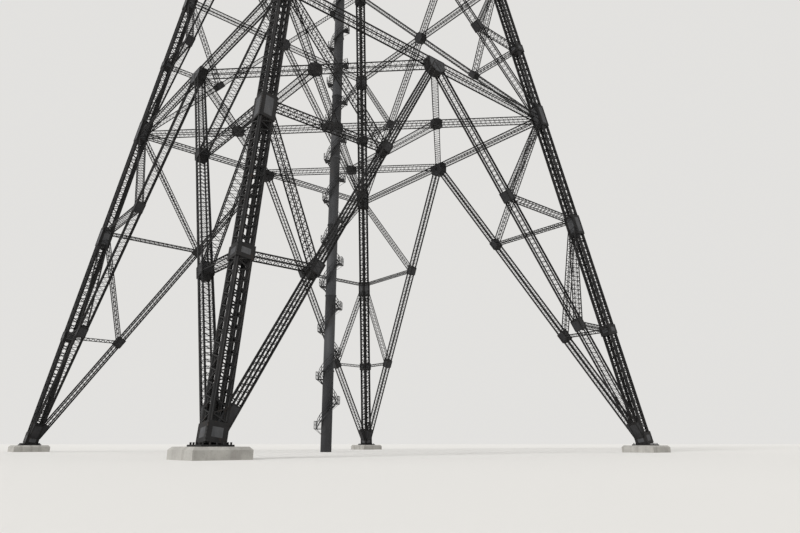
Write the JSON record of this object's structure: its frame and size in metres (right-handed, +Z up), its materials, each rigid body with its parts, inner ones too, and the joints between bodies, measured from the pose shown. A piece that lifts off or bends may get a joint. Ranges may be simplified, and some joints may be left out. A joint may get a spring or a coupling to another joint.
{
  "type": "lattice transmission pylon, scale model 1:10",
  "caption": "Tall square lattice steel pylon on splayed laced legs, with large braces, a central lift shaft and three levels of crossarms.",
  "frame": {"origin": "middle of the base, on the ground", "axes": "+Z up; the four faces look along X and Y; the line runs along X and the crossarms reach along Y"},
  "size_m": [7.3002, 7.3002, 34.65],
  "materials": {
    "tower_steel": "weathered matt",
    "shaft_steel": "satin",
    "concrete": "cast"
  },
  "bodies": {
    "root": {"base_brace_back_left": "tower_steel", "base_brace_back_right": "tower_steel", "base_brace_front_left": "tower_steel", "base_brace_front_right": "tower_steel", "base_brace_left_back": "tower_steel", "base_brace_left_front": "tower_steel", "base_brace_right_back": "tower_steel", "base_brace_right_front": "tower_steel", "concrete_piers": "concrete", "cross_brace_back_left": "tower_steel", "cross_brace_back_right": "tower_steel", "cross_brace_front_left": "tower_steel", "cross_brace_front_right": "tower_steel", "cross_brace_left_back": "tower_steel", "cross_brace_left_front": "tower_steel", "cross_brace_right_back": "tower_steel", "cross_brace_right_front": "tower_steel", "crossarm_high_back": "tower_steel", "crossarm_high_front": "tower_steel", "crossarm_low_back": "tower_steel", "crossarm_low_front": "tower_steel", "crossarm_middle_back": "tower_steel", "crossarm_middle_front": "tower_steel", "crossing_gussets": "tower_steel", "earth_wire_peak_back": "tower_steel", "earth_wire_peak_front": "tower_steel", "head_lattice_back": "tower_steel", "head_lattice_front": "tower_steel", "head_lattice_left": "tower_steel", "head_lattice_right": "tower_steel", "lift_shaft": "shaft_steel", "lower_leg_back_left": "tower_steel", "lower_leg_back_right": "tower_steel", "lower_leg_front_left": "tower_steel", "lower_leg_front_right": "tower_steel", "ring_beam_back": "tower_steel", "ring_beam_front": "tower_steel", "ring_beam_left": "tower_steel", "ring_beam_right": "tower_steel", "ring_frame": "tower_steel", "shaft_stair": "shaft_steel", "upper_frames": "tower_steel", "upper_lattice_back": "tower_steel", "upper_lattice_front": "tower_steel", "upper_lattice_left": "tower_steel", "upper_lattice_right": "tower_steel", "upper_leg_back_left": "tower_steel", "upper_leg_back_right": "tower_steel", "upper_leg_front_left": "tower_steel", "upper_leg_front_right": "tower_steel"}
  },
  "joints": []
}
